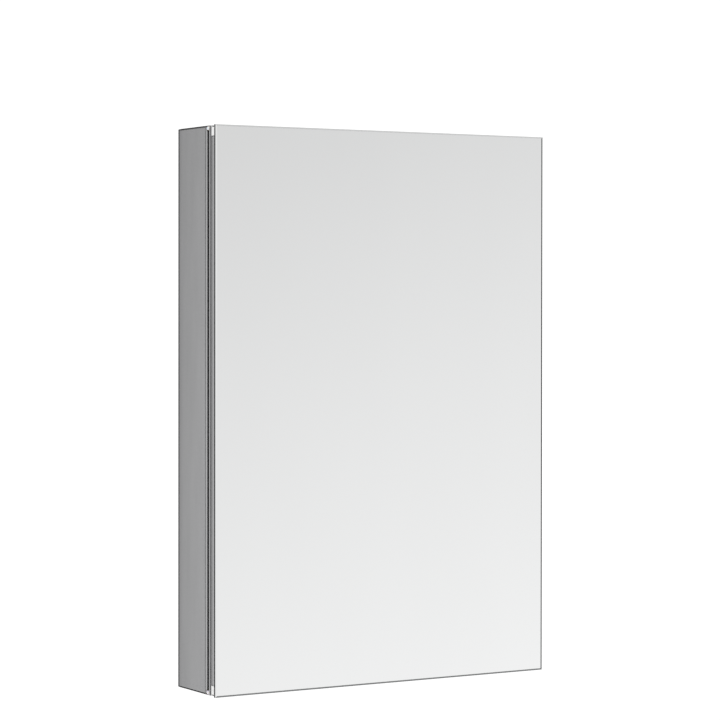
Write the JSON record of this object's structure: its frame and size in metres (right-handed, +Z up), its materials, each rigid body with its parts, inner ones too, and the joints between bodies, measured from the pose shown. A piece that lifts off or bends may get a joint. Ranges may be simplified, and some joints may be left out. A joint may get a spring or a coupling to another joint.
{
  "type": "medicine cabinet with mirror",
  "caption": "Wall-hung bathroom medicine cabinet with an aluminium case, glass shelves and a frameless mirrored door on corner pivot hinges.",
  "frame": {"origin": "centre of the case's flat back face, which lies against the wall", "axes": "+X to the right as one faces the door, +Y into the wall, +Z up; the door's front faces -Y"},
  "size_m": [0.527, 0.1105, 0.762],
  "materials": {
    "case_aluminium": "brushed along its length and clear anodised",
    "frame_aluminium": "satin anodised",
    "track_aluminium": "satin anodised",
    "plated_steel": "zinc plated, satin",
    "nickel_steel": "bright nickel plated",
    "back_sheet": "galvanised sheet, dull",
    "mirror": "silvered glass",
    "shelf_glass": "clear tempered glass with polished edges",
    "tape_foam": "double-sided foam tape",
    "white_plastic": "moulded, semi-gloss",
    "nylon": "natural nylon",
    "magnet": "sintered ferrite",
    "core_board": "honeycomb board"
  },
  "bodies": {
    "case": {"case_left_side": "case_aluminium", "case_right_side": "case_aluminium", "case_top": "case_aluminium", "case_bottom": "case_aluminium", "corner_brackets": "plated_steel", "corner_bracket_screws": "plated_steel", "back_panel": "back_sheet", "back_panel_rivets": "track_aluminium", "interior_mirror": "mirror", "interior_mirror_tape": "tape_foam", "wall_screw_grommets": "nylon", "left_front_track": "track_aluminium", "left_rear_track": "track_aluminium", "right_front_track": "track_aluminium", "right_rear_track": "track_aluminium", "track_screws": "plated_steel", "upper_shelf": "shelf_glass", "middle_shelf": "shelf_glass", "lower_shelf": "shelf_glass", "upper_shelf_pegs": "nickel_steel", "middle_shelf_pegs": "nickel_steel", "lower_shelf_pegs": "nickel_steel", "upper_hinge_bracket": "plated_steel", "lower_hinge_bracket": "plated_steel", "upper_pivot_pin": "nickel_steel", "lower_pivot_pin": "nickel_steel", "hinge_washers": "nylon", "hinge_bracket_screws": "plated_steel", "door_bumpers": "nylon", "catch_body": "white_plastic", "catch_magnet": "magnet", "catch_screws": "plated_steel"},
    "door": {"front_mirror": "mirror", "mirror_tape": "tape_foam", "door_left_stile": "frame_aluminium", "door_right_stile": "frame_aluminium", "door_top_rail": "frame_aluminium", "door_bottom_rail": "frame_aluminium", "door_corner_blocks": "white_plastic", "upper_pivot_block": "white_plastic", "lower_pivot_block": "white_plastic", "door_core": "core_board", "back_mirror": "mirror", "catch_keeper": "plated_steel"}
  },
  "joints": [
    {"name": "door_swing", "type": "hinge", "parent": "case", "child": "door", "pos_m": [0.2572, -0.1004, 0], "axis": [0, 0, 1], "range_deg": [0, 105]}
  ]
}
